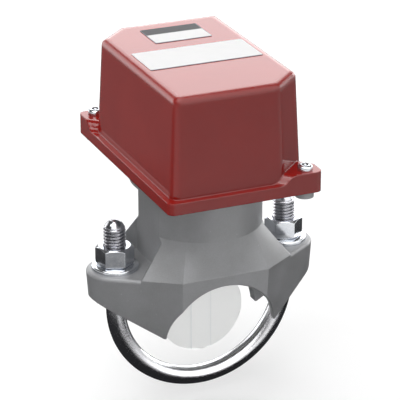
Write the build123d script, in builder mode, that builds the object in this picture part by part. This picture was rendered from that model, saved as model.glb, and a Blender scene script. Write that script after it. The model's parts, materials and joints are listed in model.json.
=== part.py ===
from build123d import *
import os
from math import asin, atan2, cos, degrees, hypot, radians, sin, sqrt, tan

# Vane-type water flow detector: a saddle and U-bolt for the pipe, a pivoted stem with a paddle,
# and a red enclosure with an air retard and two snap-action switches.
# Millimetres. The origin is where the pipe's axis crosses the stem's axis:
# +X runs across the pipe, +Y along it with the flow, and +Z up the stem.

os.makedirs("parts", exist_ok=True)

# Pipe seat and saddle casting
pipe_radius = 33.35
rim_height = 39.25
saddle_half_length = 36.8
saddle_face_half_width = 26.2
leg_offset = 52.15
ear_radius = 16.5
ear_edge_radius = 2.0
ear_thickness = 6.0
saddle_draft = 4.0
saddle_wall = 4.3
tip_height = 3.4
tip_half_width = 34.3
underside_slope = 31.0
rib_thickness = 6.6
seat_pad_half_width = 28.5
leg_hole_radius = 7.15
leg_boss_radius = 10.5
seat_gasket_radius = 25.0
seat_gasket_thickness = 3.0
water_bore_radius = 16.0

# Flare and neck of the saddle
flare_height = 21.0
flare_corner_angle = 44.0
neck_radius = 35.2
neck_top_height = 85.3
pocket_offset = 31.5
pocket_root_half_width = 19.0
pocket_angle = 18.3
neck_cavity_radius = 26.5
web_bottom_height = 52.0
web_thickness = 5.0
stem_hole_radius = 7.5

# U-bolt, nuts and washers
ring_height = 14.1
shank_radius = 5.525
thread_radius = 6.35
thread_start_height = 24.0
stud_top_height = 68.15
dome_height = 3.75
dome_base_radius = 5.6
nut_flats = 19.05
nut_height = 11.1
nut_turn = 40.7
washer_radius = 13.5
washer_thickness = 2.5

# Stem, paddle and pivot
pivot_rise = 5.0
pivot_pin_radius = 2.0
pivot_pin_length = 24.0
stem_radius = 4.0
stem_top_rise = 6.0
stem_hub_radius = 4.6
stem_hub_length = 12.0
clevis_width = 11.0
clevis_top_height = 42.0
clevis_bottom_height = 18.0
clevis_edge_radius = 1.2
clevis_slot_floor = 3.0
paddle_radius = 25.6
paddle_centre_height = 3.8
paddle_thickness = 1.6
paddle_rib_width = 12.3
paddle_rib_thickness = 2.4
paddle_screw_radius = 1.5
paddle_screw_height = 24.0
paddle_screw_pitch = 9.0
paddle_tab_gap = 0.5
paddle_tab_chamfer = 3.0

# Seal boot and pivot bracket on the web
boot_radius = 23.0
boot_thickness = 2.0
boot_neck_height = 3.4
boot_neck_radius = 8.0
boot_hole_radius = 5.8
boot_screw_clearance = 0.4
bracket_plate_radius = 24.0
bracket_plate_thickness = 2.0
bracket_opening_radius = 11.0
bracket_ear_gap = 16.0
bracket_ear_thickness = 2.5
bracket_ear_width = 10.0
bracket_screw_circle_radius = 19.5
bracket_screw_radius = 1.5
bracket_screw_length = 7.4

# Enclosure
enclosure_x = -1.8
enclosure_y = 0.7
flange_half_width = 45.0
flange_half_length = 69.2
flange_corner_radius = 4.0
lip_height = 6.6
screw_pad_height = 11.6
screw_pad_half_width = 9.1
screw_pad_ramp = 7.9
cover_height = 62.4
lip_width_x = 3.5
lip_width_y = 4.1
corner_cut_x = 19.0
corner_cut_y = 18.1
corner_radius = 5.5
cut_corner_radius = 4.0
cover_draft = 3.1
cover_wall = 2.6
cover_edge_radius = 3.2
cover_screw_inset_x = 8.2
cover_screw_inset_y = 6.3
cover_screw_radius = 2.4
cover_screw_hole_clearance = 0.3
cover_screw_length = 14.5
cover_screw_head_radius = 4.25
cover_screw_head_height = 3.3
name_label_x = 0.2
name_label_y = -0.2
name_label_width = 66.5
name_label_length = 29.6
data_label_x = 3.5
data_label_width = 34.3
data_label_length = 24.5
label_gap = 11.25
label_corner_radius = 1.0
label_thickness = 0.3
cover_gasket_thickness = 1.2

# Base casting
base_clearance = 0.4
base_rim_drop = 0.5
hub_radius = 40.0
hub_drop = 10.4
hub_wall = 3.5
hub_edge_chamfer = 1.0
base_corner_radius = 2.3
base_boss_radius = 5.1
base_boss_drop = 3.7
base_boss_clearance = 0.3
conduit_hole_radius = 11.1
conduit_offset_x = 12.0
conduit_inset_y = 18.4
base_screw_circle_radius = 31.0
base_screw_radius = 2.0
base_screw_length = 12.0
screw_hole_spare = 1.0
ground_screw_x = 18.0
ground_screw_inset_y = 18.2

# Chassis
chassis_thickness = 1.6
chassis_half_width = 34.0
chassis_half_length = 39.0
chassis_opening_radius = 14.0
chassis_screw_x = 30.0
chassis_screw_y = 34.5
chassis_screw_radius = 2.0
chassis_corner_radius = 4.0
upright_half_width = 16.0
upright_rise = 18.0
upright_corner = 4.0
web_corner = 6.0
web_top_gap = 2.0

# Switches and their levers
switch_width = 17.45
switch_depth = 19.0
switch_height = 49.2
switch_edge = 1.0
switch_face_y = -18.9
switch_floor_gap = 1.9
switch_hole_low = 11.9
switch_hole_pitch = 25.4
switch_hole_depth = 12.0
switch_screw_radius = 1.9
switch_gap = 0.1
barrier_thickness = 0.8
barrier_front_margin = 1.0
barrier_back_margin = 3.0
terminal_screw_radius = 1.5
terminal_screw_length = 4.0
terminal_wall_thickness = 1.4
terminal_wall_height = 3.0
lever_pivot_y = -17.0
lever_pivot_rise = 2.0
lever_pin_radius = 0.8
lever_curl_radius = 1.6
lever_thickness = 0.8
lever_width = 5.0
lever_length = 27.0
lever_rest_tilt = 16.0
lug_gap = 0.2
lug_thickness = 1.2
button_rise = 7.5
button_radius = 1.5
button_guide_depth = 6.0
button_travel = 1.6
contact_gap = 0.3

# Retard, trip plate and dial
retard_floor_gap = 3.4
retard_radius = 14.5
retard_wall = 2.5
retard_front_y = 16.5
retard_length = 30.0
retard_cap_thickness = 3.0
retard_nose_radius = 6.0
retard_nose_length = 7.0
retard_nut_flats = 17.0
retard_nut_height = 3.0
plunger_radius = 2.5
plunger_head_radius = 3.4
plunger_collar_length = 1.2
plunger_tip_y = 4.3
plunger_travel = 7.5
piston_length = 5.0
piston_front_gap = 1.5
trip_plate_y = 6.0
trip_plate_thickness = 1.5
trip_plate_width = 16.0
trip_plate_drop = 6.0
trip_bridge_rise = 10.0
trip_lip_width = 26.0
trip_lip_overlap = 2.0
trip_bridge_neck = 4.0
dial_y = 31.0
dial_radius = 10.5
dial_height = 5.0
dial_gap = 2.0
dial_grip_count = 12
dial_grip_radius = 1.4
dial_pointer_width = 1.6
dial_pointer_length = 7.0
dial_pointer_height = 0.8
dial_boss_radius = 6.0
dial_spindle_radius = 2.0
dial_spindle_length = 4.0

running_clearance = 0.05

# Proportions of the round-head screws to their thread's radius
head_ratio = 1.8
wide_head_ratio = 2.15
head_height_ratio = 1.1

# Levels that follow from the sizes above
enclosure = (enclosure_x, enclosure_y)
flare_top_height = rim_height + flare_height
cover_bottom_height = neck_top_height + hub_drop
wall_half_width = flange_half_width - lip_width_x
wall_half_length = flange_half_length - lip_width_y
cover_screw_x = flange_half_width - cover_screw_inset_x
cover_screw_y = flange_half_length - cover_screw_inset_y
conduit_offset_y = flange_half_length - conduit_inset_y
ground_screw_y = flange_half_length - ground_screw_inset_y
base_boss_bottom_height = cover_bottom_height - base_boss_drop
web_top_height = web_bottom_height + web_thickness
lip_top_height = cover_bottom_height + lip_height
pad_top_height = cover_bottom_height + screw_pad_height
cover_top_height = cover_bottom_height + cover_height
ledge_height = lip_top_height - cover_wall
base_top_height = ledge_height - cover_gasket_thickness
base_bottom_height = cover_bottom_height - base_rim_drop
base_half_width = flange_half_width - cover_wall - base_clearance
base_half_length = flange_half_length - cover_wall - base_clearance
hub_floor_height = neck_top_height + hub_wall
chassis_top_height = base_top_height + chassis_thickness
bracket_bottom_height = web_top_height + boot_thickness
bracket_top_height = bracket_bottom_height + bracket_plate_thickness
pivot_height = bracket_top_height + pivot_rise
switch_bottom_height = chassis_top_height + switch_floor_gap
switch_top_height = switch_bottom_height + switch_height
lever_pivot_height = switch_bottom_height + lever_pivot_rise
button_height = switch_bottom_height + button_rise
retard_height = chassis_top_height + retard_floor_gap + retard_radius
stem_top_height = retard_height + stem_top_rise
upright_top_height = retard_height + upright_rise
dial_bottom_height = retard_height + retard_radius + dial_gap


def screw(head_radius, head_height, shank_radius, shank_length):
    """A machine screw that stands on the plane z = 0, with its shank below."""
    with BuildPart() as body:
        with BuildSketch(Plane.XY):
            Circle(head_radius)
        extrude(amount=head_height)
        chamfer(body.edges().group_by(Axis.Z)[-1], 0.4 * head_height, 0.25 * head_radius)
        with BuildSketch(Plane.XY):
            Circle(shank_radius)
        extrude(amount=-shank_length)
    return body.part


def pan_screw(shank_radius, shank_length, ratio=head_ratio):
    """A screw whose head has the usual proportions to its thread."""
    return screw(ratio * shank_radius, head_height_ratio * shank_radius, shank_radius, shank_length)


def hex_nut(flats, height, bore_radius):
    """A hexagon nut on z = 0 with the corners of both faces turned off."""
    corner_radius_of_nut = flats / sqrt(3)
    turned = corner_radius_of_nut - 0.47 * flats
    with BuildPart() as body:
        with BuildSketch(Plane.XY):
            RegularPolygon(corner_radius_of_nut, 6)
            Circle(bore_radius, mode=Mode.SUBTRACT)
        extrude(amount=height)
        with BuildSketch(Plane.XY):
            Circle(corner_radius_of_nut)
        extrude(amount=height, mode=Mode.INTERSECT)
        with BuildSketch(Plane.XZ):
            with BuildLine():
                Polyline(
                    (0, 0),
                    (0.47 * flats, 0),
                    (corner_radius_of_nut, turned * 0.6),
                    (corner_radius_of_nut, height - turned * 0.6),
                    (0.47 * flats, height),
                    (0, height),
                    close=True,
                )
            make_face()
        revolve(axis=Axis.Z, mode=Mode.INTERSECT)
    return body.part


def tangent_point():
    """Where the saddle's side wall meets the round of the ear, in plan, for the +X -Y quarter."""
    span_x = leg_offset - saddle_face_half_width
    distance = hypot(span_x, saddle_half_length)
    heading = atan2(saddle_half_length, span_x) - asin(ear_radius / distance)
    run = sqrt(distance**2 - ear_radius**2)
    return (
        saddle_face_half_width + run * cos(heading),
        -saddle_half_length + run * sin(heading),
    )


def neck_point(angle):
    """A point of the round neck in plan, by its angle from the -Y direction."""
    return (neck_radius * sin(radians(angle)), -neck_radius * cos(radians(angle)))


def seat_ring(outer_radius, thickness):
    """A ring round the water bore that follows the pipe's surface."""
    with BuildPart() as ring:
        with BuildSketch(Plane.XY):
            Circle(outer_radius)
            Circle(water_bore_radius, mode=Mode.SUBTRACT)
        extrude(amount=pipe_radius + thickness)
        with BuildSketch(Plane.XZ):
            Circle(pipe_radius + thickness)
        extrude(amount=outer_radius, both=True, mode=Mode.INTERSECT)
        with BuildSketch(Plane.XZ):
            Circle(pipe_radius)
        extrude(amount=outer_radius, both=True, mode=Mode.SUBTRACT)
    return ring.part


# Saddle: the hull of the two ears and the front and back faces, seat, underside and flare
tangent_x, tangent_y = tangent_point()
flat_angle = degrees(asin(pocket_offset / neck_radius))
flat_half_length = neck_radius * cos(radians(flat_angle))
corner_x, corner_y = neck_point(flare_corner_angle)
mid_corner = neck_point((flare_corner_angle + flat_angle) / 2)
seat_recess = seat_ring(seat_gasket_radius, seat_gasket_thickness)
saddle_depth = rim_height - tip_height
reach = 2 * leg_offset
pocket_mouth = pocket_root_half_width + (reach - pocket_offset) * tan(radians(pocket_angle))
pocket_corners = [
    (pocket_offset, -pocket_root_half_width),
    (reach, -pocket_mouth),
    (reach, pocket_mouth),
    (pocket_offset, pocket_root_half_width),
]

with BuildPart() as saddle:
    with BuildSketch(Plane((0, 0, rim_height), x_dir=(1, 0, 0), z_dir=(0, 0, -1))):
        with Locations((leg_offset, 0), (-leg_offset, 0)):
            Circle(ear_radius)
        Rectangle(2 * saddle_face_half_width, 2 * saddle_half_length)
        make_hull()
    extrude(amount=saddle_depth, taper=saddle_draft)
    fillet(saddle.edges().group_by(Axis.Z)[-1], ear_edge_radius)

    # The edge stays sharp below the flare
    with BuildSketch(Plane((0, 0, rim_height), x_dir=(1, 0, 0), z_dir=(0, 0, -1))):
        with Locations((leg_offset, 0), (-leg_offset, 0)):
            Circle(ear_radius)
        Rectangle(2 * saddle_face_half_width, 2 * saddle_half_length)
        make_hull()
        with BuildLine():
            Polyline(*pocket_corners, close=True)
        make_face(mode=Mode.SUBTRACT)
        with BuildLine():
            Polyline(*[(-corner[0], corner[1]) for corner in pocket_corners], close=True)
        make_face(mode=Mode.SUBTRACT)
    extrude(amount=2 * ear_edge_radius, taper=saddle_draft)
    with BuildSketch(Plane.XZ):
        with BuildLine():
            Polyline(
                (tip_half_width, tip_height),
                (reach, tip_height + (reach - tip_half_width) * tan(radians(underside_slope))),
                (reach, tip_height - 1),
                (tip_half_width, tip_height - 1),
                close=True,
            )
        make_face()
        mirror(about=Plane.YZ)
    extrude(amount=reach, both=True, mode=Mode.SUBTRACT)

    # Flare from the rim to the round neck
    with BuildSketch(Plane.XY.offset(rim_height)):
        with BuildLine():
            Polyline(
                (-saddle_face_half_width, -saddle_half_length),
                (saddle_face_half_width, -saddle_half_length),
                (tangent_x, tangent_y),
                (tangent_x, -tangent_y),
                (saddle_face_half_width, saddle_half_length),
                (-saddle_face_half_width, saddle_half_length),
                (-tangent_x, -tangent_y),
                (-tangent_x, tangent_y),
                close=True,
            )
        make_face()
    with BuildSketch(Plane.XY.offset(flare_top_height)):
        with BuildLine():
            ThreePointArc((-corner_x, corner_y), (0, -neck_radius), (corner_x, corner_y))
            ThreePointArc((corner_x, corner_y), mid_corner, (pocket_offset, -flat_half_length))
            Line((pocket_offset, -flat_half_length), (pocket_offset, flat_half_length))
            ThreePointArc(
                (pocket_offset, flat_half_length),
                (mid_corner[0], -mid_corner[1]),
                (corner_x, -corner_y),
            )
            ThreePointArc((corner_x, -corner_y), (0, neck_radius), (-corner_x, -corner_y))
            ThreePointArc(
                (-corner_x, -corner_y),
                (-mid_corner[0], -mid_corner[1]),
                (-pocket_offset, flat_half_length),
            )
            Line((-pocket_offset, flat_half_length), (-pocket_offset, -flat_half_length))
            ThreePointArc(
                (-pocket_offset, -flat_half_length),
                (-mid_corner[0], mid_corner[1]),
                (-corner_x, corner_y),
            )
        make_face()
    loft(ruled=True)
    with BuildSketch(Plane.XY.offset(flare_top_height)):
        Circle(neck_radius)
        Rectangle(2 * pocket_offset, 2 * neck_radius, mode=Mode.INTERSECT)
    extrude(amount=neck_top_height - flare_top_height)

    # Open pockets that leave room for a wrench round each nut
    with BuildSketch(Plane.XY.offset(rim_height)):
        with BuildLine():
            Polyline(*pocket_corners, close=True)
        make_face()
        mirror(about=Plane.YZ)
    extrude(amount=flare_height, mode=Mode.SUBTRACT)

    # Cored underside between the outer wall, the cross rib, the leg bosses and the seat pad
    with BuildSketch(
        Plane((0, 0, rim_height - ear_thickness), x_dir=(1, 0, 0), z_dir=(0, 0, -1))
    ):
        with Locations((leg_offset, 0), (-leg_offset, 0)):
            Circle(ear_radius)
        Rectangle(2 * saddle_face_half_width, 2 * saddle_half_length)
        make_hull()
        offset(amount=-saddle_wall - rim_height * tan(radians(saddle_draft)) / 2)
        Rectangle(2 * reach, rib_thickness, mode=Mode.SUBTRACT)
        Rectangle(2 * seat_pad_half_width, 2 * saddle_half_length, mode=Mode.SUBTRACT)
        with Locations((leg_offset, 0), (-leg_offset, 0)):
            Circle(leg_boss_radius, mode=Mode.SUBTRACT)
    extrude(amount=rim_height - ear_thickness, mode=Mode.SUBTRACT)

    # Pipe seat, water bore, stem hole, screw holes and dry cavity of the neck
    with BuildSketch(Plane.XZ):
        Circle(pipe_radius)
    extrude(amount=saddle_half_length + 1, both=True, mode=Mode.SUBTRACT)
    add(seat_recess, mode=Mode.SUBTRACT)
    with BuildSketch(Plane.XY):
        Circle(water_bore_radius)
    extrude(amount=web_bottom_height, mode=Mode.SUBTRACT)
    with BuildSketch(Plane.XY.offset(web_bottom_height)):
        Circle(stem_hole_radius)
    extrude(amount=web_thickness, mode=Mode.SUBTRACT)
    with BuildSketch(Plane.XY.offset(web_top_height)):
        with PolarLocations(bracket_screw_circle_radius, 4, start_angle=45):
            Circle(bracket_screw_radius + running_clearance)
    extrude(amount=bracket_plate_thickness + boot_thickness - bracket_screw_length, mode=Mode.SUBTRACT)
    with BuildSketch(Plane.XY.offset(neck_top_height)):
        with PolarLocations(base_screw_circle_radius, 4, start_angle=45):
            Circle(base_screw_radius + running_clearance)
    extrude(amount=hub_wall - base_screw_length - screw_hole_spare, mode=Mode.SUBTRACT)
    with BuildSketch(Plane.XY.offset(web_top_height)):
        Circle(neck_cavity_radius)
    extrude(amount=neck_top_height - web_top_height, mode=Mode.SUBTRACT)
    with BuildSketch(Plane.XY.offset(rim_height)):
        with Locations((leg_offset, 0), (-leg_offset, 0)):
            Circle(leg_hole_radius)
    extrude(amount=-rim_height, mode=Mode.SUBTRACT)
saddle.part.label = "saddle"
export_step(saddle.part, "parts/saddle.step")

saddle_gasket = seat_recess - Cylinder(water_bore_radius + 0.5, 2 * rim_height)
saddle_gasket.label = "saddle_gasket"
export_step(saddle_gasket, "parts/saddle_gasket.step")

# U-bolt: the bend is swept up into the threaded legs, which are turned
dome_start_height = stud_top_height - dome_height
dome_sphere_radius = (dome_base_radius**2 + dome_height**2) / (2 * dome_height)
thread_chamfer = thread_radius - dome_base_radius
bend_end_height = thread_start_height + 2 * thread_chamfer
with BuildPart() as u_bolt:
    with BuildLine(Plane.XZ):
        Line((-leg_offset, bend_end_height), (-leg_offset, ring_height))
        ThreePointArc(
            (-leg_offset, ring_height),
            (0, ring_height - leg_offset),
            (leg_offset, ring_height),
        )
        Line((leg_offset, ring_height), (leg_offset, bend_end_height))
    with BuildSketch(Plane.XY.offset(bend_end_height)):
        with Locations((-leg_offset, 0)):
            Circle(shank_radius)
    sweep()
    for side in (1, -1):
        leg_x = side * leg_offset
        with BuildSketch(Plane.XZ):
            with BuildLine():
                Polyline(
                    (leg_x, stud_top_height),
                    (leg_x, thread_start_height),
                    (leg_x + shank_radius, thread_start_height),
                    (leg_x + thread_radius, thread_start_height + thread_chamfer),
                    (leg_x + thread_radius, dome_start_height - thread_chamfer),
                    (leg_x + dome_base_radius, dome_start_height),
                )
                RadiusArc(
                    (leg_x + dome_base_radius, dome_start_height),
                    (leg_x, stud_top_height),
                    -dome_sphere_radius,
                )
            make_face()
        revolve(axis=Axis((leg_x, 0, 0), (0, 0, 1)))
u_bolt.part.label = "u_bolt"
export_step(u_bolt.part, "parts/u_bolt.step")

with BuildPart() as washers:
    with BuildSketch(Plane.XY.offset(rim_height)):
        with Locations((leg_offset, 0), (-leg_offset, 0)):
            Circle(washer_radius)
            Circle(leg_hole_radius, mode=Mode.SUBTRACT)
    extrude(amount=washer_thickness)
washers.part.label = "washers"
export_step(washers.part, "parts/washers.step")

nut = Rot(0, 0, nut_turn) * hex_nut(nut_flats, nut_height, thread_radius + running_clearance)
for side, name in ((1, "nut_right"), (-1, "nut_left")):
    placed = Pos(side * leg_offset, 0, rim_height + washer_thickness) * nut
    placed.label = name
    export_step(placed, f"parts/{name}.step")

# Stem with its pivot hub and clevis
with BuildPart() as stem:
    with BuildSketch(Plane.XY.offset(clevis_bottom_height)):
        Rectangle(clevis_width, 2 * stem_radius)
    extrude(amount=clevis_top_height - clevis_bottom_height)
    fillet(stem.edges().filter_by(Axis.Z), clevis_edge_radius)
    with BuildSketch(Plane.XY.offset(clevis_top_height)):
        Circle(stem_radius)
    extrude(amount=stem_top_height - clevis_top_height)
    chamfer(stem.edges().group_by(Axis.Z)[-1], 0.8)
    with BuildSketch(Plane.YZ):
        with Locations((0, pivot_height)):
            Circle(stem_hub_radius)
    extrude(amount=stem_hub_length / 2, both=True)
    with BuildSketch(Plane.YZ):
        with Locations((0, pivot_height)):
            Circle(pivot_pin_radius + running_clearance)
    extrude(amount=stem_hub_length, both=True, mode=Mode.SUBTRACT)
    with BuildSketch(Plane.YZ.offset(-clevis_width)):
        with Locations((0, clevis_bottom_height)):
            Rectangle(
                paddle_rib_thickness + 2 * running_clearance,
                2 * (clevis_top_height - clevis_bottom_height - clevis_slot_floor),
            )
    extrude(amount=2 * clevis_width, mode=Mode.SUBTRACT)
    with BuildSketch(Plane.XZ.offset(-clevis_width)):
        with Locations((0, paddle_screw_height), (0, paddle_screw_height + paddle_screw_pitch)):
            Circle(paddle_screw_radius + running_clearance)
    extrude(amount=2 * clevis_width, mode=Mode.SUBTRACT)
stem.part.label = "stem"
export_step(stem.part, "parts/stem.step")

# Paddle: a thin disc with a thicker band up its middle that ends in the clevis tab
with BuildPart() as paddle:
    with BuildSketch(Plane.XZ):
        with Locations((0, paddle_centre_height)):
            Circle(paddle_radius)
    extrude(amount=paddle_thickness / 2, both=True)
    with BuildSketch(Plane.XZ):
        with BuildLine():
            half_rib = paddle_rib_width / 2
            rib_bottom = paddle_centre_height - sqrt(paddle_radius**2 - half_rib**2)
            tab_top = clevis_top_height - clevis_slot_floor - paddle_tab_gap
            Polyline(
                (-half_rib, rib_bottom),
                (half_rib, rib_bottom),
                (half_rib, tab_top - paddle_tab_chamfer),
                (half_rib - paddle_tab_chamfer, tab_top),
                (-half_rib + paddle_tab_chamfer, tab_top),
                (-half_rib, tab_top - paddle_tab_chamfer),
                close=True,
            )
        make_face()
    extrude(amount=paddle_rib_thickness / 2, both=True)
    with BuildSketch(Plane.XZ):
        with Locations((0, paddle_screw_height), (0, paddle_screw_height + paddle_screw_pitch)):
            Circle(paddle_screw_radius + running_clearance)
    extrude(amount=paddle_rib_thickness, both=True, mode=Mode.SUBTRACT)
paddle.part.label = "paddle"
export_step(paddle.part, "parts/paddle.step")

paddle_screw = Rot(90, 0, 0) * pan_screw(paddle_screw_radius, 2 * stem_radius)
with BuildPart() as paddle_screws:
    with Locations(
        (0, -stem_radius, paddle_screw_height),
        (0, -stem_radius, paddle_screw_height + paddle_screw_pitch),
    ):
        add(paddle_screw)
paddle_screws.part.label = "paddle_screws"
export_step(paddle_screws.part, "parts/paddle_screws.step")

# Seal boot, pivot bracket and pin
with BuildPart() as stem_boot:
    with BuildSketch(Plane.XY.offset(web_top_height)):
        Circle(boot_radius)
        with PolarLocations(bracket_screw_circle_radius, 4, start_angle=45):
            Circle(bracket_screw_radius + boot_screw_clearance, mode=Mode.SUBTRACT)
    extrude(amount=boot_thickness)
    with BuildSketch(Plane.XY.offset(web_top_height)):
        Circle(boot_neck_radius)
    extrude(amount=boot_neck_height, taper=25)
    with BuildSketch(Plane.XY.offset(web_top_height)):
        Circle(boot_hole_radius)
    extrude(amount=boot_neck_height, mode=Mode.SUBTRACT)
stem_boot.part.label = "stem_boot"
export_step(stem_boot.part, "parts/stem_boot.step")

ear_offset = (bracket_ear_gap + bracket_ear_thickness) / 2
half_ear = bracket_ear_width / 2
with BuildPart() as pivot_bracket:
    with BuildSketch(Plane.XY.offset(bracket_bottom_height)):
        Circle(bracket_plate_radius)
        Circle(bracket_opening_radius, mode=Mode.SUBTRACT)
        with Locations((ear_offset, 0), (-ear_offset, 0)):
            Rectangle(bracket_ear_thickness, bracket_ear_width)
        with PolarLocations(bracket_screw_circle_radius, 4, start_angle=45):
            Circle(bracket_screw_radius + running_clearance, mode=Mode.SUBTRACT)
    extrude(amount=bracket_plate_thickness)
    with BuildSketch(Plane.YZ.offset(bracket_ear_gap / 2)):
        with BuildLine():
            Polyline(
                (-half_ear, pivot_height),
                (-half_ear, bracket_bottom_height),
                (half_ear, bracket_bottom_height),
                (half_ear, pivot_height),
            )
            RadiusArc((half_ear, pivot_height), (-half_ear, pivot_height), -half_ear)
        make_face()
        with Locations((0, pivot_height)):
            Circle(pivot_pin_radius + running_clearance, mode=Mode.SUBTRACT)
    extrude(amount=bracket_ear_thickness)
    mirror(about=Plane.YZ)
pivot_bracket.part.label = "pivot_bracket"
export_step(pivot_bracket.part, "parts/pivot_bracket.step")

bracket_screw = pan_screw(bracket_screw_radius, bracket_screw_length)
with BuildPart() as bracket_screws:
    with Locations((0, 0, bracket_top_height)):
        with PolarLocations(bracket_screw_circle_radius, 4, start_angle=45):
            add(bracket_screw)
bracket_screws.part.label = "bracket_screws"
export_step(bracket_screws.part, "parts/bracket_screws.step")

with BuildPart() as pivot_pin:
    with BuildSketch(Plane.YZ):
        with Locations((0, pivot_height)):
            Circle(pivot_pin_radius)
    extrude(amount=pivot_pin_length / 2, both=True)
    chamfer(pivot_pin.edges(), 0.3)
pivot_pin.part.label = "pivot_pin"
export_step(pivot_pin.part, "parts/pivot_pin.step")


def wall_outline(inset):
    """The cover's wall in plan, with two opposite corners cut off for the screw pads."""
    with BuildSketch() as outline:
        with BuildLine():
            Polyline(
                (-wall_half_width, -wall_half_length),
                (wall_half_width - corner_cut_x, -wall_half_length),
                (wall_half_width, -wall_half_length + corner_cut_y),
                (wall_half_width, wall_half_length),
                (-wall_half_width + corner_cut_x, wall_half_length),
                (-wall_half_width, wall_half_length - corner_cut_y),
                close=True,
            )
        make_face()
        fillet(outline.vertices().filter_by(lambda corner: corner.X * corner.Y < 0), cut_corner_radius)
        fillet(
            outline.vertices()
            .filter_by(lambda corner: corner.X * corner.Y > 0)
            .filter_by(lambda corner: abs(corner.X) + abs(corner.Y) > wall_half_width + wall_half_length - 1),
            corner_radius,
        )
        if inset:
            offset(amount=-inset)
    return outline.sketch


# Cover: screw pads across two opposite corners, lip band, tapered wall, then hollowed
cut_angle = degrees(atan2(corner_cut_y, corner_cut_x))
cut_along = Vector(corner_cut_x, corner_cut_y, 0).normalized()
cut_outward = Vector(corner_cut_y, -corner_cut_x, 0).normalized()
screw_spots = [
    (enclosure_x + cover_screw_x, enclosure_y - cover_screw_y),
    (enclosure_x - cover_screw_x, enclosure_y + cover_screw_y),
]
lip_outline = (2 * flange_half_width, 2 * flange_half_length, flange_corner_radius)
pad_reach = 30
with BuildPart() as cover:
    for turn, (spot_x, spot_y) in zip((1, -1), screw_spots):
        start = Vector(spot_x, spot_y, cover_bottom_height) - cut_outward * turn * pad_reach
        with BuildSketch(Plane(start, x_dir=cut_along * turn, z_dir=cut_outward * turn)):
            ramp_end = screw_pad_half_width + screw_pad_ramp
            with BuildLine():
                Polyline(
                    (-ramp_end, lip_height),
                    (-ramp_end, 0),
                    (ramp_end, 0),
                    (ramp_end, lip_height),
                )
                Spline(
                    (ramp_end, lip_height),
                    (screw_pad_half_width, screw_pad_height),
                    tangents=((-1, 0), (-1, 0)),
                )
                Line((screw_pad_half_width, screw_pad_height), (-screw_pad_half_width, screw_pad_height))
                Spline(
                    (-screw_pad_half_width, screw_pad_height),
                    (-ramp_end, lip_height),
                    tangents=((-1, 0), (-1, 0)),
                )
            make_face()
        extrude(amount=2 * pad_reach)
    with BuildSketch(Plane.XY.offset(cover_bottom_height)):
        with Locations(enclosure):
            RectangleRounded(*lip_outline)
    extrude(amount=screw_pad_height, mode=Mode.INTERSECT)
    with BuildSketch(Plane.XY.offset(cover_bottom_height)):
        with Locations(enclosure):
            RectangleRounded(*lip_outline)
    extrude(amount=lip_height)
    with BuildSketch(Plane.XY.offset(lip_top_height)):
        with Locations(enclosure):
            add(wall_outline(0))
    extrude(amount=cover_top_height - lip_top_height, taper=cover_draft)
    fillet(cover.faces().sort_by(Axis.Z)[-1].edges(), cover_edge_radius)

    # Room for the base's rim, then the tapered inside of the wall
    with BuildSketch(Plane.XY.offset(cover_bottom_height)):
        with Locations(enclosure):
            RectangleRounded(
                2 * (flange_half_width - cover_wall),
                2 * (flange_half_length - cover_wall),
                flange_corner_radius - cover_wall / 2,
            )
    extrude(amount=ledge_height - cover_bottom_height, mode=Mode.SUBTRACT)
    with BuildSketch(Plane.XY.offset(ledge_height)):
        with Locations(enclosure):
            add(wall_outline(cover_wall))
    extrude(amount=cover_top_height - cover_wall - ledge_height, taper=cover_draft, mode=Mode.SUBTRACT)
    with BuildSketch(Plane.XY.offset(cover_bottom_height)):
        with Locations(*screw_spots):
            Circle(cover_screw_radius + cover_screw_hole_clearance)
    extrude(amount=screw_pad_height, mode=Mode.SUBTRACT)
cover.part.label = "cover"
export_step(cover.part, "parts/cover.step")

cover_screw = screw(cover_screw_head_radius, cover_screw_head_height, cover_screw_radius, cover_screw_length)
with BuildPart() as cover_screws:
    with Locations((0, 0, pad_top_height)):
        with Locations(*screw_spots):
            add(cover_screw)
cover_screws.part.label = "cover_screws"
export_step(cover_screws.part, "parts/cover_screws.step")

with BuildPart() as name_label:
    with BuildSketch(Plane.XY.offset(cover_top_height)):
        with Locations((enclosure_x + name_label_x, enclosure_y + name_label_y)):
            RectangleRounded(name_label_width, name_label_length, label_corner_radius)
    extrude(amount=label_thickness)
name_label.part.label = "name_label"
export_step(name_label.part, "parts/name_label.step")

data_label_y = name_label_y + (name_label_length + data_label_length) / 2 + label_gap
with BuildPart() as data_label:
    with BuildSketch(Plane.XY.offset(cover_top_height)):
        with Locations((enclosure_x + data_label_x, enclosure_y + data_label_y)):
            RectangleRounded(data_label_width, data_label_length, label_corner_radius)
    extrude(amount=label_thickness)
data_label.part.label = "data_label"
export_step(data_label.part, "parts/data_label.step")

# Gasket between the base and the ledge inside the cover
with BuildPart() as cover_gasket:
    with BuildSketch(Plane.XY.offset(base_top_height)):
        with Locations(enclosure):
            RectangleRounded(2 * base_half_width, 2 * base_half_length, base_corner_radius)
            add(wall_outline(cover_wall - 0.3), mode=Mode.SUBTRACT)
        with Locations(*screw_spots):
            Circle(cover_screw_radius + cover_screw_hole_clearance, mode=Mode.SUBTRACT)
    extrude(amount=cover_gasket_thickness)
cover_gasket.part.label = "cover_gasket"
export_step(cover_gasket.part, "parts/cover_gasket.step")

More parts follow.
